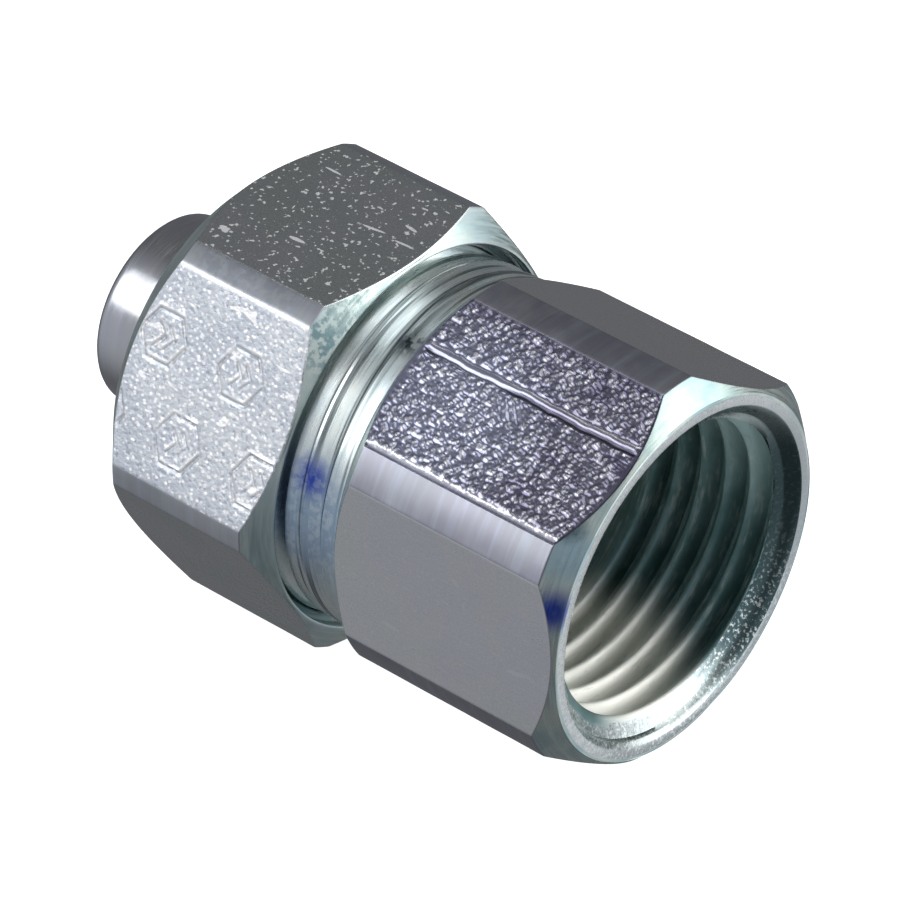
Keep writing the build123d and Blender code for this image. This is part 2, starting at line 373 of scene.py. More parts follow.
def rounded(points, radius=0.08, cuts=3):
    """The half section with its corners rounded off.

    points are (x, r, material); a fourth value sets a corner's own radius.
    """
    result = []
    count = len(points)
    for i, point in enumerate(points):
        here = np.array(point[:2], float)
        before = np.array(points[i - 1][:2], float)
        after = np.array(points[(i + 1) % count][:2], float)
        to_before, to_after = before - here, after - here
        size = point[3] if len(point) > 3 else radius
        back_length = np.linalg.norm(to_before)
        next_length = np.linalg.norm(to_after)
        reach = min(size, back_length * 0.45, next_length * 0.45)
        start = here + to_before / back_length * reach
        end = here + to_after / next_length * reach
        lead = points[i - 1][2]
        for c in range(cuts + 1):
            t = c / cuts
            spot = (1 - t) ** 2 * start + 2 * t * (1 - t) * here + t * t * end
            result.append((spot[0], spot[1], lead if t < 0.5 else point[2]))
    return result


# ---------------------------------------------------------------- materials
class Paint:
    """A material whose nodes are added by short calls. Each call gives a socket."""

    def __init__(self, name):
        self.material = bpy.data.materials.new(name)
        self.material.use_nodes = True
        self.tree = self.material.node_tree
        self.surface = self.tree.nodes["Principled BSDF"]
        self.place = self.tree.nodes.new("ShaderNodeTexCoord").outputs["Object"]

    def put(self, kind, inputs, output=0, **settings):
        """A new node. An input is a socket to link or a value to set."""
        node = self.tree.nodes.new(kind)
        for key, value in settings.items():
            setattr(node, key, value)
        for key, value in inputs.items():
            if isinstance(value, bpy.types.NodeSocket):
                self.tree.links.new(value, node.inputs[key])
            else:
                node.inputs[key].default_value = value
        return node.outputs[output]

    def stretched(self, scale):
        """The place, in millimetres, stretched by scale along X, Y and Z."""
        factor = tuple(s / MM for s in scale)
        return self.put("ShaderNodeVectorMath", {0: self.place, 1: factor}, operation="MULTIPLY")

    def attribute(self, name):
        """A value that the mesh carries at its points."""
        node = self.tree.nodes.new("ShaderNodeAttribute")
        node.attribute_name = name
        return node.outputs["Fac"]

    def noise(self, size_mm, detail=4.0, roughness=0.55, scale=(1, 1, 1), distortion=0.0):
        inputs = {"Vector": self.stretched(scale), "Scale": 1 / size_mm, "Detail": detail}
        inputs.update({"Roughness": roughness, "Distortion": distortion})
        return self.put("ShaderNodeTexNoise", inputs)

    def cells(self, size_mm, scale=(1, 1, 1)):
        """Distance from the nearest of many scattered points."""
        return self.put("ShaderNodeTexVoronoi", {"Vector": self.stretched(scale), "Scale": 1 / size_mm})

    def reshape(self, value, low, high, to_low=0.0, to_high=1.0):
        """to_low where value is low, to_high where it is high, and a smooth step between them."""
        inputs = {"Value": value, "From Min": low, "From Max": high, "To Min": to_low, "To Max": to_high}
        return self.put("ShaderNodeMapRange", inputs, interpolation_type="SMOOTHSTEP")

    def sum(self, a, b):
        return self.put("ShaderNodeMath", {0: a, 1: b}, operation="ADD")

    def times(self, a, b):
        return self.put("ShaderNodeMath", {0: a, 1: b}, operation="MULTIPLY")

    def larger(self, a, b):
        return self.put("ShaderNodeMath", {0: a, 1: b}, operation="MAXIMUM")

    def blend(self, share, a, b):
        """Colour a, with a share of colour b."""
        node = self.tree.nodes.new("ShaderNodeMix")
        node.data_type = "RGBA"
        for key, value in (("Factor", share), ("A", a), ("B", b)):
            socket = next(s for s in node.inputs if s.name == key and s.enabled)
            if isinstance(value, bpy.types.NodeSocket):
                self.tree.links.new(value, socket)
            else:
                socket.default_value = (*value, 1.0) if key != "Factor" else value
        return next(s for s in node.outputs if s.enabled)

    def near(self, spot_mm, inner_mm, outer_mm):
        """1 within inner of a spot on the part, falling to 0 at outer."""
        spot = tuple(s * MM for s in spot_mm)
        ends = {0: self.place, 1: spot}
        away = self.put("ShaderNodeVectorMath", ends, output="Value", operation="DISTANCE")
        return self.reshape(away, outer_mm * MM, inner_mm * MM)

    def finish(self, colour, roughness, height=None, height_mm=0.01, metallic=1.0):
        """The finished material. height is a fine relief, height_mm high, that isn't in the mesh."""
        self.tree.links.new(colour, self.surface.inputs["Base Color"])
        self.tree.links.new(roughness, self.surface.inputs["Roughness"])
        self.surface.inputs["Metallic"].default_value = metallic
        if height is not None:
            inputs = {"Height": height, "Distance": height_mm * MM, "Strength": 1.0}
            self.tree.links.new(self.put("ShaderNodeBump", inputs), self.surface.inputs["Normal"])
        return self.material


NEUTRAL = (0.62, 0.635, 0.65)
BLUISH = (0.50, 0.56, 0.68)
TEAL = (0.38, 0.56, 0.58)
GREENISH = (0.66, 0.76, 0.70)
DEEP_BLUE = (0.05, 0.09, 0.45)
WHITE = (1.0, 1.0, 1.0)
CREAM = (1.0, 0.99, 0.92)


def plated(name, main, second, rough, specks=0.3, scratches=0.3, marked=None):
    """Zinc plate with a passivation tint that drifts, fine grain, pale specks and a few scratches.

    marked is a place round which most of the specks and scratches lie. Without it they lie all over.
    """
    p = Paint(name)
    drift = p.reshape(p.noise(5.0, detail=3.0), 0.38, 0.62)
    colour = p.blend(drift, main, second)
    grain = p.noise(0.12, detail=5.0, roughness=0.65)
    brushed = p.noise(0.22, detail=4.0, scale=(0.05, 1, 1))
    speck = p.times(p.reshape(p.noise(0.30, detail=1.0), 0.63, 0.70), specks)
    blob = p.times(p.reshape(p.noise(1.3, detail=3.0, roughness=0.5), 0.70, 0.72), specks)
    scratch_field = p.noise(0.7, detail=1.0, scale=(0.22, 1, 1), distortion=0.4)
    scratch = p.times(p.reshape(scratch_field, 0.71, 0.73), scratches)
    marks = p.larger(p.larger(speck, blob), scratch)
    if marked is not None:
        marks = p.times(marks, p.reshape(p.near(marked, 7.0, 17.0), 0, 1, 0.12, 1.0))
    colour = p.blend(marks, colour, WHITE)
    colour = p.blend(p.reshape(grain, 0.3, 0.7, 0.0, 0.22), colour, tuple(c * 0.6 for c in main))
    base_rough = p.reshape(grain, 0.25, 0.75, rough * 0.75, rough * 1.35)
    roughness = p.sum(base_rough, p.times(marks, 0.45))
    height = p.sum(p.sum(p.times(grain, 0.6), p.times(brushed, 0.5)), p.times(marks, 0.5))
    return p.finish(colour, roughness, height, 0.006)


def turned_plate(
    name, main, second, third, rough, line_height=0.004, lines=0.3, scoring=0.0, streak=1.0, spots=()
):
    """Turned zinc plate: fine tool lines round the axis, tinted bands, and spots of strong colour.

    lines is how pale the tool lines are, scoring how dark the few deep ones are, and streak how much the
    roughness varies. Each spot: its place, the distances in mm where it is full and gone, its tint, and how
    ragged it is.
    """
    p = Paint(name)
    along = p.noise(0.11, detail=3.0, roughness=0.7, scale=(1, 0.03, 0.03))
    broad = p.noise(0.6, detail=2.0, scale=(1, 0.05, 0.05))
    drift = p.reshape(p.noise(4.0, detail=3.0, scale=(1.3, 1, 1)), 0.36, 0.64)
    colour = p.blend(drift, main, second)
    colour = p.blend(p.reshape(broad, 0.45, 0.72, 0.0, 0.35), colour, third)
    scored = p.times(p.reshape(p.noise(0.5, detail=1.0, scale=(1, 0.02, 0.02)), 0.58, 0.62), scoring)
    colour = p.blend(scored, colour, (0.06, 0.09, 0.10))
    colour = p.blend(p.reshape(along, 0.35, 0.75, 0.0, lines), colour, (0.9, 0.93, 0.92))
    mottle = p.reshape(p.noise(0.5, detail=4.0, roughness=0.6), 0.40, 0.60)
    for spot, inner, outer, tint, ragged in spots:
        share = p.times(p.near(spot, inner, outer), p.reshape(mottle, 0, 1, 1 - ragged, 1.0))
        colour = p.blend(share, colour, tint)
    streaks = p.reshape(along, 0.3, 0.7, rough * (1 - 0.3 * streak), rough * (1 + 0.4 * streak))
    roughness = p.sum(streaks, p.reshape(drift, 0, 1, 0.0, 0.05))
    height = p.sum(p.times(along, 0.7), p.times(p.noise(0.15, detail=4.0), 0.3))
    return p.finish(colour, roughness, height, line_height)


def frosted_plate(name, main, second, dark_side, dark_grains):
    """Sandy plate of the countersink and the rim, greyer at the bottom, with painted shade on the +Y side."""
    p = Paint(name)
    sand = p.noise(0.24, detail=3.0, roughness=0.65)
    patch = p.reshape(p.noise(2.5, detail=3.0), 0.4, 0.6)
    colour = p.blend(patch, main, second)
    colour = p.blend(p.near(RIM_BOTTOM, 3.0, 9.0), colour, (0.46, 0.50, 0.50))
    colour = p.blend(p.reshape(sand, 0.44, 0.36, 0.0, dark_grains), colour, (0.20, 0.27, 0.28))
    # Painted shade on the +Y side.
    painted_shade = p.near(RIM_FAR_SIDE, 6.5, 12.5)
    colour = p.blend(painted_shade, colour, dark_side)
    grains = p.reshape(sand, 0.54, 0.64, 0.0, 0.7)
    quiet = p.near(RIM_FAR_UPPER, 4.0, 12.5)
    colour = p.blend(p.times(grains, p.reshape(quiet, 0, 1, 1.0, 0.08)), colour, (0.90, 0.94, 0.93))
    roughness = p.reshape(sand, 0.3, 0.7, 0.22, 0.36)
    return p.finish(colour, roughness, sand, 0.009)


def pebbled_plate():
    """The rough rolled flat: dark plate whose relief is in the mesh, with painted highlights on its tips and
    painted shade in its hollows.
    """
    p = Paint("pebbled_flat")
    grain = p.noise(0.10, detail=5.0, roughness=0.7)
    drift = p.reshape(p.noise(3.0, detail=3.0), 0.35, 0.65)
    colour = p.blend(drift, (0.17, 0.16, 0.24), (0.26, 0.26, 0.34))
    colour = p.blend(p.near(PEBBLED_MIDDLE, 1.5, 8.5), colour, (0.42, 0.44, 0.58))
    painted_light_and_wear_value = p.attribute("painted_light_and_wear")
    # Painted shade: darkest where the mesh's painted light value is below 0.
    colour = p.blend(p.reshape(painted_light_and_wear_value, -0.05, -0.6), colour, (0.05, 0.05, 0.07))
    # Painted highlight: near white where that value is above 0, on the tips and along the seam.
    tips = p.times(p.reshape(painted_light_and_wear_value, 0.0, 1.0), p.reshape(grain, 0.25, 0.6, 0.6, 1.0))
    colour = p.blend(tips, colour, (0.95, 0.95, 1.0))
    roughness = p.sum(p.reshape(grain, 0.3, 0.7, 0.14, 0.25), p.times(tips, 0.15))
    return p.finish(colour, roughness, grain, 0.004)


def sparkling_plate():
    """The light stamped flat, with a fine bright sparkle."""
    p = Paint("stamped_flat")
    grain = p.noise(0.30, detail=3.0, roughness=0.6)
    drift = p.reshape(p.noise(3.5, detail=3.0), 0.35, 0.65)
    colour = p.blend(drift, (0.57, 0.61, 0.67), (0.66, 0.69, 0.73))
    dots = p.reshape(p.cells(0.30, scale=(0.8, 1, 1)), 0.42, 0.22)
    dots = p.times(dots, p.reshape(p.noise(0.6, detail=2.0), 0.25, 0.46))
    colour = p.blend(p.reshape(grain, 0.44, 0.36), colour, (0.46, 0.49, 0.56))
    colour = p.blend(dots, colour, WHITE)
    nicks = p.reshape(p.noise(0.9, detail=1.0, scale=(0.4, 1, 1), distortion=1.0), 0.68, 0.72)
    colour = p.blend(nicks, colour, WHITE)
    painted_light_and_wear_value = p.attribute("painted_light_and_wear")
    # Painted highlight on the marks' lips and edge, and painted shade along the marks' lines.
    colour = p.blend(p.reshape(painted_light_and_wear_value, 0.0, 0.8), colour, WHITE)
    colour = p.blend(p.reshape(painted_light_and_wear_value, -0.1, -0.8), colour, (0.16, 0.18, 0.21))
    roughness = p.reshape(grain, 0.3, 0.7, 0.30, 0.50)
    return p.finish(colour, roughness, grain, 0.03)


def thread_plate():
    """The conduit thread: deep teal, with a pale painted highlight on the far side, a cream painted highlight
    at the bottom, and fine lines round it.
    """
    p = Paint("conduit_thread")
    along = p.noise(0.2, detail=3.0, roughness=0.7, scale=(1, 0.08, 0.08))
    patch = p.reshape(p.noise(2.4, detail=4.0), 0.36, 0.64)
    colour = p.blend(patch, (0.09, 0.18, 0.18), (0.15, 0.25, 0.26))
    # Painted highlight: paler on the far side of the bore.
    colour = p.blend(p.near(THREAD_FAR_SIDE_HIGHLIGHT, 2.0, 8.0), colour, (0.34, 0.48, 0.48))
    # Painted highlight: cream at the bottom of the bore.
    cream_highlight = p.near(THREAD_BOTTOM_HIGHLIGHT, 5.0, 8.5)
    colour = p.blend(cream_highlight, colour, CREAM)
    colour = p.blend(p.reshape(along, 0.5, 0.75, 0.0, 0.25), colour, (0.97, 0.98, 0.92))
    colour = p.blend(p.reshape(along, 0.42, 0.32, 0.0, 0.25), colour, (0.10, 0.15, 0.15))
    roughness = p.sum(p.reshape(along, 0.3, 0.7, 0.36, 0.46), p.times(cream_highlight, 0.12))
    return p.finish(colour, roughness, along, 0.006, metallic=0.6)


def nylon():
    """Natural nylon, slightly mottled, with a moulded bloom."""
    p = Paint("bush_nylon")
    mottle = p.noise(1.2, detail=4.0)
    fine = p.noise(0.12, detail=4.0)
    colour = p.blend(p.reshape(mottle, 0.35, 0.65), (0.72, 0.70, 0.62), (0.80, 0.79, 0.73))
    return p.finish(colour, p.reshape(fine, 0.3, 0.7, 0.38, 0.55), fine, 0.008, metallic=0.0)


def rubber():
    """Matt black rubber with a fine moulded skin."""
    p = Paint("seal_rubber")
    skin = p.noise(0.10, detail=5.0)
    dust = p.noise(1.5, detail=5.0)
    colour = p.blend(p.reshape(dust, 0.55, 0.75), (0.018, 0.018, 0.019), (0.055, 0.054, 0.052))
    return p.finish(colour, p.reshape(skin, 0.3, 0.7, 0.55, 0.78), skin, 0.015, metallic=0.0)


nut_flat_plate = plated(
    "nut_flats", NEUTRAL, (0.58, 0.62, 0.61), 0.26, specks=1.0, scratches=1.0, marked=NUT_TOP_MIDDLE
)
body_flat_plate = plated(
    "body_flats", (0.60, 0.615, 0.62), (0.60, 0.605, 0.65), 0.22, specks=0.10, scratches=0.15
)
nut_corner_plate = turned_plate(
    "nut_corners", (0.44, 0.46, 0.49), (0.40, 0.42, 0.46), BLUISH, 0.34,
    line_height=0.001, lines=0.1, streak=0.4,
    spots=((NUT_UPPER_EDGE, 2.0, 5.5, (0.36, 0.39, 0.44), 0.9),),
)
body_corner_plate = turned_plate(
    "body_corners", (0.34, 0.34, 0.40), (0.38, 0.39, 0.43), BLUISH, 0.32,
    line_height=0.0007, lines=0.05, streak=0.25,
)
nut_chamfer_plate = turned_plate(
    "nut_chamfers", (0.50, 0.58, 0.545), (0.38, 0.50, 0.52), NEUTRAL, 0.36,
    spots=(
        (NUT_FRONT_CORNER, 1.0, 3.4, (0.20, 0.31, 0.33), 1.0),
        (NUT_FRONT_ABOVE_CORNER, 0.5, 2.8, (0.32, 0.40, 0.39), 0.8),
    ),
)
chamfer_plate = turned_plate(
    "turned_chamfers", GREENISH, TEAL, NEUTRAL, 0.30,
    spots=(
        (MOUTH_CORNER, 0.8, 2.6, (0.44, 0.62, 0.70), 0.2),
        (MOUTH_CORNER_TOP, 0.3, 1.3, (0.08, 0.13, 0.16), 0.3),
        (MOUTH_CORNER_STAIN, 0.3, 1.9, DEEP_BLUE, 0.05),
    ),
)
neck_plate = turned_plate(
    "threaded_neck", (0.88, 0.94, 0.90), (0.66, 0.78, 0.79), BLUISH, 0.27, scoring=0.8,
    spots=(
        (NECK_SIDE, 2.0, 5.5, (0.34, 0.45, 0.58), 0.3),
        (NECK_STAIN, 0.2, 1.9, DEEP_BLUE, 0.3),
        # A dark patch on the neck beside the hex's rear bevel.
        (NECK_DARK_PATCH, 0.2, 1.6, (0.05, 0.07, 0.08), 0.5),
    ),
)
stub_plate = turned_plate(
    "turned_sleeve", (0.52, 0.53, 0.55), (0.50, 0.51, 0.55), BLUISH, 0.16, line_height=0.0012, lines=0.1
)
bore_plate = turned_plate("plain_bores", NEUTRAL, TEAL, NEUTRAL, 0.32)
frosted = frosted_plate(
    "frosted_countersink", (0.36, 0.45, 0.46), (0.46, 0.54, 0.53), (0.06, 0.10, 0.105), 0.5
)
frosted_rim = frosted_plate(
    "frosted_rim", (0.72, 0.77, 0.77), (0.78, 0.82, 0.81), (0.50, 0.55, 0.56), 0.2
)
pebbled = pebbled_plate()
stamped = sparkling_plate()
thread_paint = thread_plate()


# ---------------------------------------------------------------- relief on the flats
SEAM_U = -1.74
SEAM_SWAYS = ((0.04, 0.8, 1), (0.03, 2.3, 0), (0.015, 5.1, 0))  # how far, how fast along x, and phase
SEAM_HALF = 0.24
SEAM_THIN_X = 0.6  # the seam's ridge is lowest here
RIPPLES_X = 4.6
RIPPLES_U = -0.35
RIPPLE_LENGTH = 0.6
PEBBLE_MM = 0.33
COARSE_PEBBLE_MM = 0.62
ROLLED_WIDTH = 0.55
ROLLED_DROP = 0.17


def pebbled_relief(u, x):
    """Height, and painted highlight and shade, of the rough body flat: pebbles, the rolling seam, and a few
    ripples beside it.
    """
    half = BODY_FLAT_R * math.tan(math.acos(BODY_FLAT_R / BODY_CORNER_R))
    inside = step(half - np.abs(u), 0.1, 0.35) * step(x, HEX_BACK_X + 0.3, HEX_BACK_X + 0.6)
    inside = inside * step(MOUTH_X - x, 0.4, 0.7)
    lean = 0.05 * swell(u, x, 1.1, 2)
    fine = pebbles(u + lean, (x + lean) * 0.86, PEBBLE_MM, 3)
    coarse = pebbles(u + 5, x + 3, COARSE_PEBBLE_MM, 4)

    beside = u - SEAM_U
    for sway, speed, phase in SEAM_SWAYS:
        beside = beside - sway * np.sin(x * speed + phase)
    swollen = 0.4 + 0.6 * step(np.abs(x - SEAM_THIN_X), 1.6, 3.6)
    ridge = step(SEAM_HALF - np.abs(beside), 0.0, 0.12) * swollen
    trough = hump(beside - 0.34, 0.11) * swollen
    crest_line = hump(beside + 0.15, 0.06) * swollen
    lower_line = 0.5 * hump(beside - 0.50, 0.05) * step(swell(x, u * 0, 2.5, 6), -0.3, 0.3)
    calm = 1 - step(0.50 - np.abs(beside - 0.08), 0.0, 0.15)

    ripple_zone = hump(x - RIPPLES_X, 1.0) * hump(u - RIPPLES_U, 0.75)
    ripples = np.sin((x - 0.9 * u) * TURN / RIPPLE_LENGTH) * ripple_zone
    stones = calm * (1 - 0.8 * ripple_zone)

    # A painted highlight line runs along the flat's lower edge, with a patchy line of painted shade beside
    # it.
    from_edge = u - half + 0.24
    edge_highlight = hump(from_edge, 0.25) * (0.85 + 0.15 * swell(u * 0, x, 2.0, 8))
    edge_shade = hump(from_edge - 0.19, 0.05) * step(swell(u * 0, x, 4.0, 5), -0.5, -0.1)
    rolled = ROLLED_DROP * np.clip((u - half + ROLLED_WIDTH) / ROLLED_WIDTH, 0, 1) ** 2 * (u < half)

    height = inside * ((0.08 * fine + 0.02 * coarse) * stones + 0.08 * ridge - 0.07 * trough + 0.03 * ripples)
    height = height - rolled + 0.012 * swell(u, x, 5.0, 7)
    uneven = 0.75 + 0.25 * swell(u, x, 1.5, 9)
    # Painted highlights on the pebbles' tips, the seam's ridge and crest line, a line below the seam and the
    # ripples' crests; painted shade in the seam's trough.
    tips = step(fine * (0.7 + 0.3 * coarse), 0.39, 0.69) * stones
    bright = tips * uneven + 0.30 * ridge + 0.7 * crest_line + lower_line + 0.35 * step(ripples, 0.2, 0.8)
    painted_light_and_wear = inside * np.clip(bright - 0.8 * trough, -1, 1)
    on_flat = np.abs(u) < half
    painted_light_and_wear = np.where(edge_highlight > 0.1, np.maximum(painted_light_and_wear, 0.95 * edge_highlight) * on_flat, painted_light_and_wear)
    return height, painted_light_and_wear - 0.8 * edge_shade * on_flat


STAMP_PITCH = 6.0
STAMP_SIZE = 1.75
STAMP_ROWS = ((-1.9, -17.9), (3.5, -14.6))  # how far across the flat, and the x of one mark
CHEVRON_STARTS = (-0.55, 0.2)
CHEVRON_DEPTH = 0.6
CHEVRON_HALF = 0.75


def stamp_distance(u, v):
    """Distance from the nearest line of one mark: a hexagon round two chevrons."""
    corners = [(STAMP_SIZE * math.cos(k * SIXTH), STAMP_SIZE * math.sin(k * SIXTH)) for k in range(6)]
    strokes = [(corners[k], corners[(k + 1) % 6]) for k in range(6)]
    for start in CHEVRON_STARTS:
        tip = (start + CHEVRON_DEPTH, 0.0)
        strokes.append(((start, -CHEVRON_HALF), tip))
        strokes.append((tip, (start, CHEVRON_HALF)))
    return np.min([line_distance(u, v, a, b) for a, b in strokes], axis=0)


def stamped_relief(u, x):
    """Height, and painted highlight and shade, of the stamped nut flat: two staggered rows of marks, pressed
    unevenly.
    """
    nearest = np.full(np.broadcast(u, x).shape, FAR)
    above = nearest.copy()
    for row_u, row_x in STAMP_ROWS:
        for k in range(-2, 4):
            du = u - row_u
            dx = x - row_x - k * STAMP_PITCH
            nearest = np.minimum(nearest, stamp_distance(dx, du))
            above = np.minimum(above, stamp_distance(dx + 0.05, du + 0.15))
    uneven = np.clip(0.7 + 0.6 * swell(u + 3, x, 2.2, 11), 0.15, 1)
    patchy = step(swell(u, x, 2.4, 14), -0.25, 0.25)
    groove = -0.10 * (1 - step(nearest, 0.03, 0.16)) * uneven
    lip = 0.03 * hump(above - 0.02, 0.09) * uneven
    grain = 0.014 * pebbles(u, x, 0.27, 12)
    half = NUT_FLAT_R * math.tan(math.acos(NUT_FLAT_R / NUT_CORNER_R))
    inside = step(half - np.abs(u), 0.1, 0.5)
    # Painted highlight on one side of each mark's lip, and painted shade along the mark's lines.
    bright = 1.2 * hump(above, 0.15) * uneven
    dark = 1.3 * hump(nearest, 0.08) * (0.45 + 0.55 * patchy)
    painted_light_and_wear = inside * np.clip(bright - dark, -1, 1)
    # A painted highlight line along one edge of the flat, where u is below 0.
    edge = hump(np.abs(u) - half + 0.12, 0.13) * (u < 0) * (np.abs(u) < half)
    height = inside * (groove + lip + grain) + 0.012 * swell(u, x, 5.0, 13)
    return height, np.maximum(painted_light_and_wear, edge)


def plain_relief(u, x, seed):
    """A drawn bar's flat, slightly wavy."""
    return 0.010 * swell(u, x, 5.0, seed)


def side_relief(x, across, special, special_relief, seed):
    """Height, and painted highlight and shade, all round a hexagon at x: one flat has its own relief, and the
    others are plain.
    """
    height, painted_light_and_wear = special_relief(across[special], x)
    mine = np.abs(across[special]) < ON_FLAT
    height, painted_light_and_wear = height * mine, painted_light_and_wear * mine
    for k in range(6):
        if k != special:
            height = height + np.where(np.abs(across[k]) < ON_FLAT, plain_relief(across[k], x, seed + k), 0)
    return height, painted_light_and_wear


def hex_zone(radius, low, low_r, low_slope, high, high_r, high_slope, rows, relief, paint):
    """Stations of a hexagon between its two turned bevels, whose radii at low and high are low_r and high_r.

    rows is how many stations cross the flats, and paint holds the bevels' material and the sides' materials.
    """
    back = low + np.clip(radius - low_r, 0.02, None) / low_slope
    front = high - np.clip(radius - high_r, 0.02, None) / high_slope
    back_near = np.minimum(0.05, (back - low) * 0.3)
    front_near = np.minimum(0.05, (high - front) * 0.3)
    flat_start = back + 0.12
    flat_end = front - 0.12
    places = [low + (back - low) * t for t in (0.02, 0.3, 0.6)]
    places += [back - 2 * back_near, back - back_near, back, back + 0.04]
    places += [flat_start + (flat_end - flat_start) * t for t in np.linspace(0, 1, rows)]
    places += [front - 0.04, front, front + front_near, front + 2 * front_near]
    places += [front + (high - front) * t for t in (0.4, 0.7, 0.98)]
    first_side, last_side = 6, rows + 8
    stations = []
    for i, x in enumerate(places):
        bevel = soft_min(low_r + (x - low) * low_slope, high_r + (high - x) * high_slope, BLEND)
        r = soft_min(radius, bevel, BLEND)
        on_flat = step(bevel - radius, 0.0, 0.15)
        kind = paint[1] if first_side <= i <= last_side else paint[0]
        height, painted_light_and_wear = relief(x)
        stations.append((x, r + height * on_flat, kind, painted_light_and_wear * on_flat))
    return stations


def sides_paint(angles, first_flat, half, flats, corner):
    """Material index of each strip between columns: one for each flat, and one for the corners."""
    middle = (angles[:-1] + angles[1:]) / 2
    turn = (middle - first_flat + SIXTH / 2) % TURN
    side = np.floor(turn / SIXTH).astype(int) % 6
    off = np.abs(turn % SIXTH - SIXTH / 2)
    return np.where(off < half, np.array(flats)[side], corner)


# ---------------------------------------------------------------- the three visible pieces
def make_body():
    """Hex body. Its flats count up from the pebbled one, towards the bottom."""
    plates = [
        body_flat_plate, pebbled, body_corner_plate, chamfer_plate, neck_plate,
        frosted, thread_paint, bore_plate, frosted_rim,
    ]
    plain, rough, corner, chamfer, neck_paint, sandy, threaded, bore, rim = range(len(plates))
    angles = hex_columns(BODY_FLAT_R, BODY_CORNER_R, BODY_FIRST_FLAT, (126, 26, 22, 22, 22, 26))
    radius = hex_radius(angles, BODY_FLAT_R, BODY_CORNER_R, BODY_FIRST_FLAT)
    across = [flat_across(angles, BODY_FLAT_R, BODY_FIRST_FLAT + k * SIXTH) for k in range(6)]
    half_flat = math.acos(BODY_FLAT_R / BODY_CORNER_R)
    flats = (rough, plain, plain, plain, plain, plain)
    sides = sides_paint(angles, BODY_FIRST_FLAT, half_flat, flats, corner)

    def relief(x):
        return side_relief(x, across, 0, pebbled_relief, 20)

    neck = Thread(
        NECK_THREAD_X, GLAND_PITCH, NECK_CREST_R, NECK_CREST_R - NECK_ROOT_R,
        NECK_ROOT_HALF, GLAND_SLOPE, -1, body_neck_strength, NECK_CROWN,
    )
    cutter_half = CONDUIT_ROOT_HALF + (CONDUIT_MAJOR_R - CONDUIT_MINOR_R + 0.1) * CONDUIT_SLOPE
    conduit = Thread(
        CONDUIT_TAIL + cutter_half, CONDUIT_PITCH, CONDUIT_MINOR_R, CONDUIT_MAJOR_R - CONDUIT_MINOR_R,
        CONDUIT_ROOT_HALF, CONDUIT_SLOPE, 1, conduit_strength, soft=CONDUIT_SOFTNESS,
    )
    stations = []
    neck_bevel_end = NECK_END_X + NECK_CREST_R - NECK_ROOT_R
    for x in neck.stations(angles, NECK_END_X, HEX_BACK_X - 0.45):
        bevel = np.where(x < neck_bevel_end, NECK_ROOT_R + (x - NECK_END_X), FAR)
        stations.append((x, soft_min(neck.radius(x, angles), bevel, BLEND), neck_paint))
    for before_hex in (0.4, 0.25, 0.12, 0.04):
        stations.append((HEX_BACK_X - before_hex, NECK_CREST_R, neck_paint))
    stations += hex_zone(
        radius, HEX_BACK_X, NECK_CREST_R, BODY_BACK_SLOPE, MOUTH_X, RIM_R, 1.0, 150, relief, (chamfer, sides)
    )
    stations += [(MOUTH_X - 0.03, RIM_R - 0.02, chamfer), (MOUTH_X, RIM_R - 0.10, chamfer)]
    stations += [(MOUTH_X, RIM_R - 0.2, rim), (MOUTH_X, FLARE_R + 0.08, sandy)]
    stations += [(MOUTH_X - 0.04, FLARE_R, sandy)]
    for x in reversed(conduit.stations(angles, CONDUIT_TAIL - 0.4, MOUTH_X - 0.25)):
        depth = MOUTH_X - x
        flare = FLARE_R - depth - FLARE_INNER_SLOPE * np.clip(depth - FLARE_DEPTH, 0, None)
        wall = -soft_min(-conduit.radius(x, angles), -flare, 0.04)
        stations.append((x, wall, np.where(depth[1:] < FLARE_DEPTH + 0.25, sandy, threaded)))
    passage = [
        (CONDUIT_TAIL - 0.5, CONDUIT_MINOR_R),
        (0, CONDUIT_MINOR_R),
        (0, STOP_RECESS_R),
        (-STOP_RECESS_DEPTH, STOP_RECESS_R),
        (-STOP_RECESS_DEPTH, THROAT_R),
        (CHAMBER_FLOOR_X, THROAT_R),
        (CHAMBER_FLOOR_X, CHAMBER_R),
        (NECK_END_X + SEAT_CONE_DEPTH, CHAMBER_R),
        (NECK_END_X, SEAT_CONE_R),
    ]
    stations += rounded([(x, r, bore) for x, r in passage], radius=0.05)
    return turned_mesh("hex_body", angles, stations, plates)


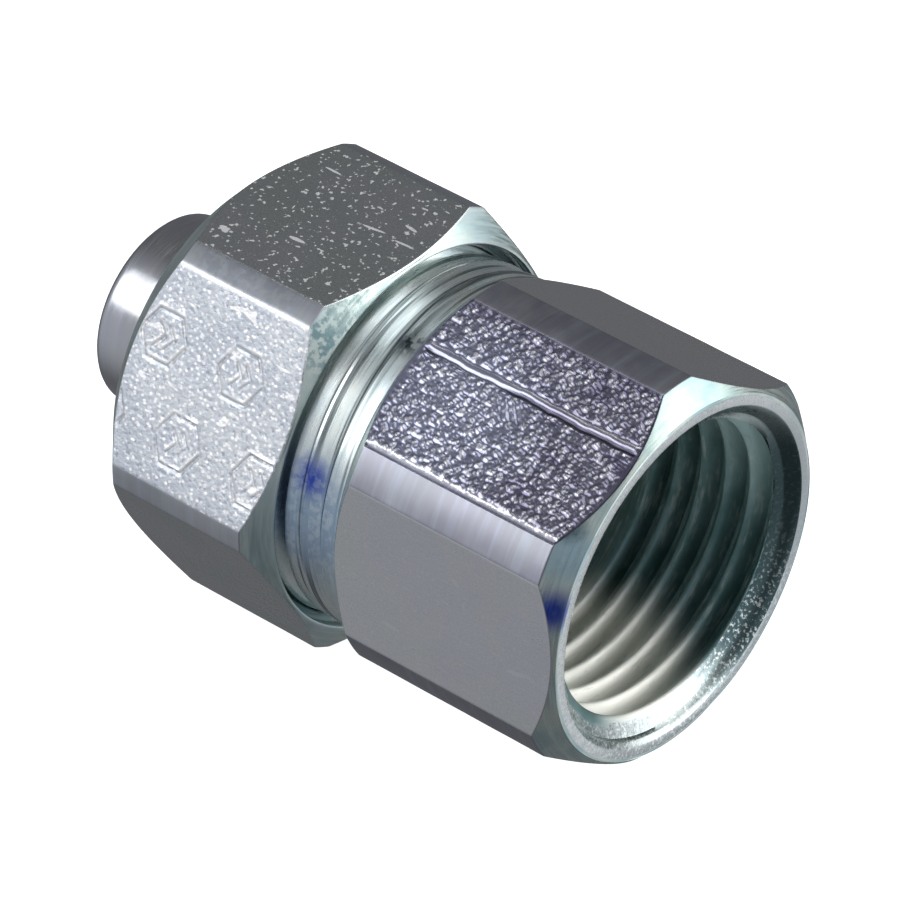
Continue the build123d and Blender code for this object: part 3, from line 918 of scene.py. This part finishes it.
def make_nut():
    """Hex compression nut. Its flats count up from the top one, towards -Y: the second is the stamped one."""
    plates = [nut_flat_plate, stamped, nut_corner_plate, nut_chamfer_plate, neck_plate, bore_plate]
    plain, marked, corner, chamfer, relieved, bore = range(len(plates))
    angles = hex_columns(NUT_FLAT_R, NUT_CORNER_R, NUT_FIRST_FLAT, (30, 140, 24, 22, 22, 22))
    radius = hex_radius(angles, NUT_FLAT_R, NUT_CORNER_R, NUT_FIRST_FLAT)
    across = [flat_across(angles, NUT_FLAT_R, NUT_FIRST_FLAT + k * SIXTH) for k in range(6)]
    half_flat = math.acos(NUT_FLAT_R / NUT_CORNER_R)
    flats = (plain, marked, plain, plain, plain, plain)
    sides = sides_paint(angles, NUT_FIRST_FLAT, half_flat, flats, corner)

    def relief(x):
        return side_relief(x, across, 1, stamped_relief, 30)

    tip_half = NECK_ROOT_HALF + (NUT_CREST_R - NECK_ROOT_R) * GLAND_SLOPE - FLANK_GAP
    root_half = GLAND_PITCH / 2 - tip_half - (NUT_ROOT_R - NUT_CREST_R) * GLAND_SLOPE
    thread = Thread(
        NECK_THREAD_X + GLAND_PITCH / 2, GLAND_PITCH, NUT_CREST_R, NUT_ROOT_R - NUT_CREST_R,
        root_half, GLAND_SLOPE, 1, full_strength,
    )
    stations = [(NUT_BACK_X, r, chamfer) for r in (9.0, 10.6, NUT_BACK_R - 0.12)]
    stations += [(NUT_BACK_X + 0.02, NUT_BACK_R - 0.04, chamfer)]
    stations += hex_zone(
        radius, NUT_BACK_X, NUT_BACK_R, NUT_BACK_SLOPE, NUT_FRONT_X, NUT_FACE_R, NUT_FRONT_SLOPE,
        135, relief, (chamfer, sides),
    )
    mouth_end = NUT_FRONT_X - NUT_MOUTH_DEPTH
    stations += [(NUT_FRONT_X, NUT_FACE_R - 0.02, chamfer)]
    stations += [(NUT_FRONT_X - 0.01, NUT_MOUTH_R + 0.02, relieved)]
    stations += [(NUT_FRONT_X - 0.06, NUT_MOUTH_R, relieved), (mouth_end + 0.05, NUT_MOUTH_R, relieved)]
    thread_back = NUT_SHOULDER_X + 2.0
    for x in reversed(thread.stations(angles, thread_back, mouth_end)):
        cone = NUT_MOUTH_R + (x - mouth_end)
        stations.append((x, -soft_min(-thread.radius(x, angles), -cone, BLEND), bore))
    stations += [(thread_back - 0.1, NUT_CREST_R, bore), (NUT_SHOULDER_X + 0.05, NUT_CREST_R, bore)]
    stations += [(NUT_SHOULDER_X, NUT_CREST_R - 0.05, bore), (NUT_SHOULDER_X, SLEEVE_HOLE_R + 0.1, bore)]
    stations += [(NUT_SHOULDER_X - 0.1, SLEEVE_HOLE_R, bore), (NUT_BACK_X + 0.3, SLEEVE_HOLE_R, bore)]
    stations += [(NUT_BACK_X, SLEEVE_HOLE_R + 0.3, chamfer), (NUT_BACK_X, 7.4, chamfer)]
    return turned_mesh("hex_nut", angles, stations, plates)


def make_sleeve():
    """Turned entry sleeve: the stub outside the nut, its flange and its nose."""
    plates = [stub_plate, bore_plate]
    outside, bore = range(len(plates))
    angles = np.linspace(0, TURN, 257)
    flange_back = NUT_SHOULDER_X + WASHER_THICK + WASHER_GAP
    flange_front = NUT_SHOULDER_X + WASHER_THICK + FLANGE_THICK
    outline = rounded(
        [
            (STUB_END_X, SLEEVE_BORE_R + SLEEVE_BORE_BEVEL, bore, 0.12),
            (STUB_END_X, SLEEVE_R - SLEEVE_OUTER_BEVEL, outside, 0.35),
            (STUB_END_X + SLEEVE_OUTER_BEVEL, SLEEVE_R, outside, 0.35),
            (flange_back, SLEEVE_R, outside),
            (flange_back, FLANGE_R, outside),
            (flange_front, FLANGE_R, outside),
            (flange_front, NOSE_R, outside),
            (NOSE_END_X, NOSE_R, outside),
            (NOSE_END_X, SLEEVE_BORE_R, bore),
            (STUB_END_X + SLEEVE_BORE_BEVEL, SLEEVE_BORE_R, bore),
        ],
        radius=0.1, cuts=4,
    )
    spacing = 0.5
    stations = []
    for i, (x, r, kind) in enumerate(outline):
        stations.append((x, r, kind))
        after = outline[(i + 1) % len(outline)]
        parts = int(math.hypot(after[0] - x, after[1] - r) / spacing)
        for part in range(1, parts):
            share = part / parts
            stations.append((x + (after[0] - x) * share, r + (after[1] - r) * share, kind))
    return turned_mesh("turned_sleeve", angles, stations, plates)


def place(piece, body, node, slot):
    """The piece rides on its body and stands in for the CAD node."""
    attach(piece, body)
    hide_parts(node)


place(make_body(), "fitting", "body", "zinc_body")
place(make_nut(), "nut", "compression_nut", "zinc_nut")
place(make_sleeve(), "sleeve", "entry_sleeve", "turned_steel")

ring_paint = turned_plate("ring_steel", NEUTRAL, BLUISH, NEUTRAL, 0.28)
washer_paint = plated("washer_steel", NEUTRAL, GREENISH, 0.3)
INNER_PAINTS = {
    "slip_washer": washer_paint,
    "seat_washer": washer_paint,
    "clamping_ring": ring_paint,
    "sealing_ring": rubber(),
    "throat_bush": nylon(),
}
for node, material in INNER_PAINTS.items():
    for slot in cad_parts[node].material_slots:
        slot.material = material


# ---------------------------------------------------------------- floor, light and camera
FLOOR_HALF = 1.5  # metres
FLOOR_GAP = 0.00005  # metres, between the lowest CAD point and the floor
FLOOR_GLOW = 0.92


def make_floor():
    """A pale floor under the fitting, bright enough to look white."""
    p = Paint("pale_floor")
    colour = p.blend(p.noise(40.0), (0.90, 0.90, 0.90), (0.93, 0.93, 0.93))
    roughness = p.reshape(p.noise(5.0), 0.3, 0.7, 0.8, 0.95)
    material = p.finish(colour, roughness, metallic=0.0)
    p.surface.inputs["Emission Color"].default_value = (1, 1, 1, 1)
    p.surface.inputs["Emission Strength"].default_value = FLOOR_GLOW
    mesh = bpy.data.meshes.new("floor")
    height = cad_box[0][2] - FLOOR_GAP
    signs = ((-1, -1), (1, -1), (1, 1), (-1, 1))
    mesh.from_pydata([(x * FLOOR_HALF, y * FLOOR_HALF, height) for x, y in signs], [], [(0, 1, 2, 3)])
    mesh.materials.append(material)
    floor = bpy.data.objects.new("floor", mesh)
    floor.visible_glossy = False
    bpy.context.scene.collection.objects.link(floor)


def softbox(name, direction, distance, size, radiance, colour=(1, 1, 1)):
    """A rectangular area light that faces the fitting. distance and size are in metres.

    radiance sets how bright its surface is, whatever its size.
    """
    light = bpy.data.lights.new(name, "AREA")
    light.shape = "RECTANGLE"
    light.size, light.size_y = size
    light.energy = radiance * math.pi * size[0] * size[1]
    light.color = colour
    lamp = bpy.data.objects.new(name, light)
    lamp.visible_camera = False
    heading = Vector(direction).normalized()
    lamp.location = heading * distance
    lamp.rotation_euler = heading.to_track_quat("Z", "Y").to_euler()
    bpy.context.scene.collection.objects.link(lamp)


WORLD_DIM = 0.17
WORLD_GLOWS = (  # heading, cosines of the angles from it where the glow starts and is full, and strength
    ((-0.50, -0.82, 0.20), 0.25, 1.0, 0.42),
    ((0.80, 0.59, 0.02), 0.84, 0.97, 0.9),
    ((0.97, 0.12, 0.02), 0.70, 1.0, 0.6),
    ((0.50, 0.60, -0.62), 0.80, 0.98, 0.45),
)


def make_world():
    """A dim room with soft glows in a few directions."""
    world = bpy.data.worlds.new("room")
    world.use_nodes = True
    tree = world.node_tree
    background = tree.nodes["Background"]
    heading = tree.nodes.new("ShaderNodeTexCoord").outputs["Generated"]
    total = None
    for direction, start, full, strength in WORLD_GLOWS:
        dot = tree.nodes.new("ShaderNodeVectorMath")
        dot.operation = "DOT_PRODUCT"
        dot.inputs[1].default_value = Vector(direction).normalized()
        tree.links.new(heading, dot.inputs[0])
        ramp = tree.nodes.new("ShaderNodeMapRange")
        ramp.interpolation_type = "SMOOTHSTEP"
        for key, value in (("From Min", start), ("From Max", full), ("To Min", 0.0), ("To Max", strength)):
            ramp.inputs[key].default_value = value
        tree.links.new(dot.outputs["Value"], ramp.inputs["Value"])
        add = tree.nodes.new("ShaderNodeMath")
        add.inputs[1].default_value = WORLD_DIM
        if total is not None:
            tree.links.new(total, add.inputs[1])
        tree.links.new(ramp.outputs["Result"], add.inputs[0])
        total = add.outputs[0]
    tree.links.new(total, background.inputs["Strength"])
    background.inputs["Color"].default_value = (0.93, 0.95, 1.0, 1)
    bpy.context.scene.world = world


make_floor()
make_world()
softbox("left_softbox", (-0.51, -0.64, 0.57), 0.5, (0.26, 0.30), 2.2)
softbox("overhead_softbox", (-0.17, 0.20, 0.96), 0.6, (0.32, 0.32), 1.5)
softbox("front_softbox", (0.90, 0.38, 0.16), 0.6, (0.26, 0.22), 1.2)
softbox("right_softbox", (0.69, 0.64, 0.32), 0.5, (0.44, 0.38), 1.8, (0.97, 1.0, 0.97))

CAMERA_BACK = Vector((0.5127, -0.6011, 0.6129)).normalized()
CAMERA_AIM = Vector((-3.98, -0.62, 1.06)) * MM
CAMERA_DISTANCE = 388.7 * MM
CAMERA_LENS = 264.1
CAMERA_SENSOR = 36

camera_data = bpy.data.cameras.new("camera")
camera_data.lens = CAMERA_LENS
camera_data.sensor_width = CAMERA_SENSOR
camera_data.clip_start = 0.01
camera = bpy.data.objects.new("camera", camera_data)
camera.location = CAMERA_AIM + CAMERA_BACK * CAMERA_DISTANCE
camera.rotation_euler = CAMERA_BACK.to_track_quat("Z", "Y").to_euler()
bpy.context.scene.collection.objects.link(camera)
bpy.context.scene.camera = camera
bpy.context.scene.view_settings.view_transform = "Standard"
